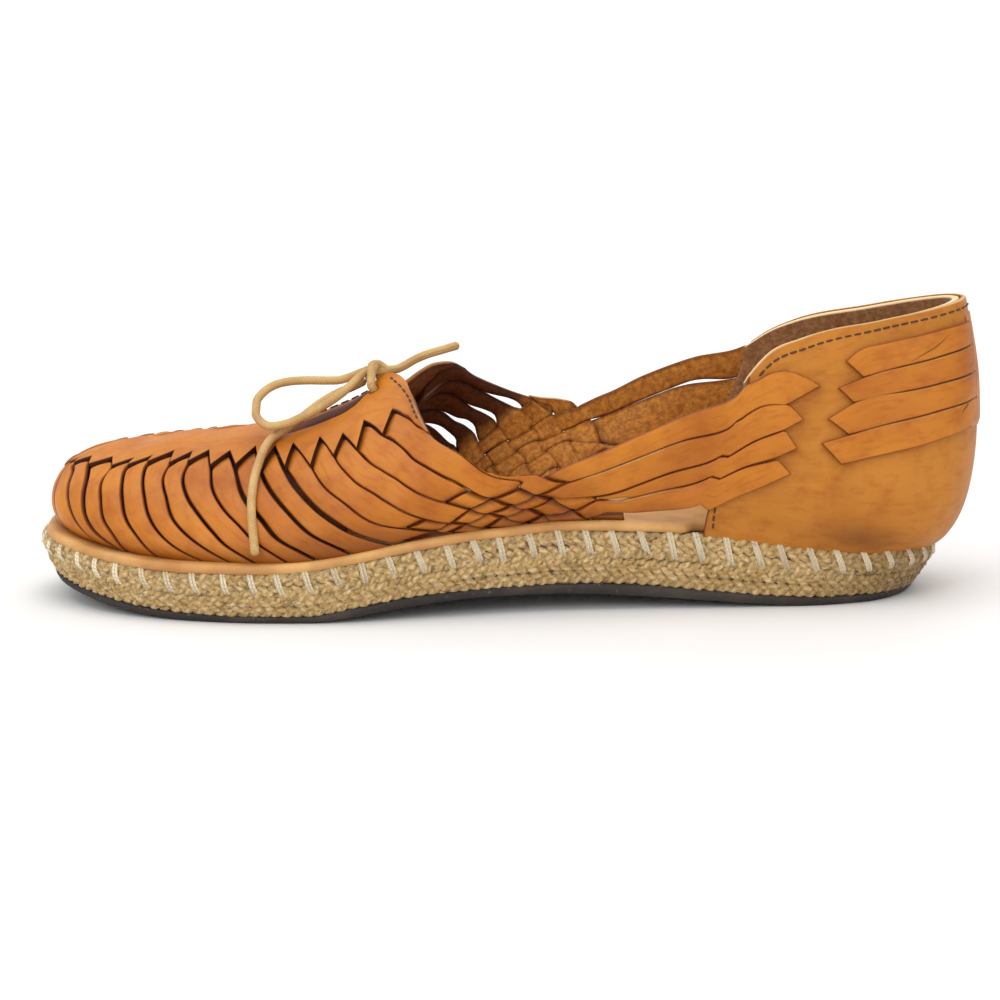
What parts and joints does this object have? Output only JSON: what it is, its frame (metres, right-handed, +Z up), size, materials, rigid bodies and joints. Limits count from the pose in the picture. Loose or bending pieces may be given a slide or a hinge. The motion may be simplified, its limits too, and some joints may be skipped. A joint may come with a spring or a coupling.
{
  "type": "huarache sandal",
  "caption": "Closed-toe woven leather huarache with a laced throat, a strapped heel counter and a braided jute sole.",
  "frame": {"origin": "on the floor under the middle of the shoe, without its free lace", "axes": "+X towards the heel, -X towards the toe, -Y the outer (lateral) side, +Z up"},
  "size_m": [0.2634, 0.0906, 0.081],
  "materials": {
    "outsole_rubber": "matt near-black brown rubber",
    "jute": "braided natural jute with cream whip stitches",
    "footbed_leather": "natural vegetable-tanned leather, satin",
    "woven_leather": "waxed tan leather straps, satin",
    "counter_leather": "waxed tan leather, satin",
    "lace_cord": "round waxed natural lace"
  },
  "bodies": {
    "root": {"outsole": "outsole_rubber", "midsole": "jute", "insole": "footbed_leather", "upper": "woven_leather", "heel_counter": "counter_leather", "heel_straps": "woven_leather", "lace_bar": "lace_cord", "lace_knot": "lace_cord", "lace_loop": "lace_cord", "lace_end_near": "lace_cord", "lace_end_far": "lace_cord"}
  },
  "joints": []
}
